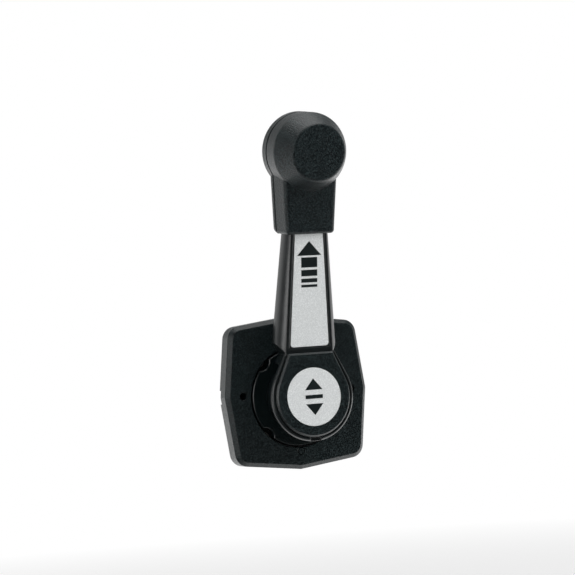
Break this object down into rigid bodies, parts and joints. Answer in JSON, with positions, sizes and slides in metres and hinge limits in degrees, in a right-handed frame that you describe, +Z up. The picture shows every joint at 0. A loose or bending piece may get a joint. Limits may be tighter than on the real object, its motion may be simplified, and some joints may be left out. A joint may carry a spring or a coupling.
{
  "type": "boat throttle control lever",
  "caption": "Side-mount boat throttle and shift lever: round grip, leaning arm, bevelled escutcheon and geared cable drive behind the panel.",
  "frame": {"origin": "centre of the four panel screw holes, on the panel face", "axes": "+Z up along the lever at neutral, +Y into the panel, +X to the right as seen from the front"},
  "size_m": [0.1022, 0.1294, 0.235],
  "materials": {
    "black_cover": "textured",
    "black_arm": "painted",
    "black_grip": "textured",
    "label_metal": "brushed",
    "die_cast": "cast",
    "steel": "machined",
    "gear_steel": "machined",
    "bronze": "machined",
    "brass": "machined",
    "rubber": "matte",
    "brake_pad": "matte"
  },
  "bodies": {
    "base": {"panel_gasket": "rubber", "mounting_base": "die_cast", "trim_cover": "black_cover", "bearing_flange": "die_cast", "flange_screws": "steel", "front_bush": "bronze", "rear_bush": "bronze", "shift_rear_bush": "bronze", "gear_case": "die_cast", "rear_cover": "die_cast", "case_screws": "steel", "detent_ball": "steel", "detent_spring": "steel", "detent_plug": "steel", "friction_pad": "brake_pad", "friction_screw": "steel"},
    "lever": {"lever_arm": "black_arm", "arm_label": "label_metal", "hub_cover": "black_cover", "emblem_disc": "label_metal", "hub_washer": "steel", "hub_bolt": "steel", "main_shaft": "steel", "drive_gear": "gear_steel", "detent_wheel": "gear_steel", "throttle_arm": "steel", "throttle_arm_nut": "steel"},
    "grip": {"grip_front_shell": "black_grip", "grip_rear_shell": "black_grip", "grip_screws": "steel", "lock_rod": "steel", "rod_pin": "steel", "grip_spring": "steel"},
    "shift_train": {"shift_shaft": "steel", "shift_gear": "gear_steel", "shift_arm": "steel", "shift_arm_nut": "steel"},
    "throttle_swivel_body": {"throttle_swivel": "brass", "throttle_clip": "steel"},
    "shift_swivel_body": {"shift_swivel": "brass", "shift_clip": "steel"}
  },
  "joints": [
    {"name": "lever_turn", "type": "hinge", "parent": "base", "child": "lever", "pos_m": [0, 0, -0.003], "axis": [0, 1, 0], "range_deg": [-80, 80]},
    {"name": "grip_lift", "type": "slide", "parent": "lever", "child": "grip", "axis": [0, -0.1478, 0.989], "range_m": [0, 0.006], "stiffness_N_per_m": 1500, "springref_m": -0.003, "deforming": ["grip_spring"]},
    {"name": "shift_turn", "type": "hinge", "parent": "base", "child": "shift_train", "pos_m": [0, 0, 0.0195], "axis": [0, 1, 0], "range_deg": [-40, 40]},
    {"name": "throttle_swivel_turn", "type": "hinge", "parent": "lever", "child": "throttle_swivel_body", "pos_m": [0, 0.0392, -0.037], "axis": [0, 1, 0], "range_deg": [-90, 90]},
    {"name": "shift_swivel_turn", "type": "hinge", "parent": "shift_train", "child": "shift_swivel_body", "pos_m": [0, 0.0392, 0.0435], "axis": [0, 1, 0], "range_deg": [-60, 60]}
  ],
  "couplings": [
    {"joint": "shift_turn", "follows": "lever_turn", "ratio": -0.5}
  ]
}
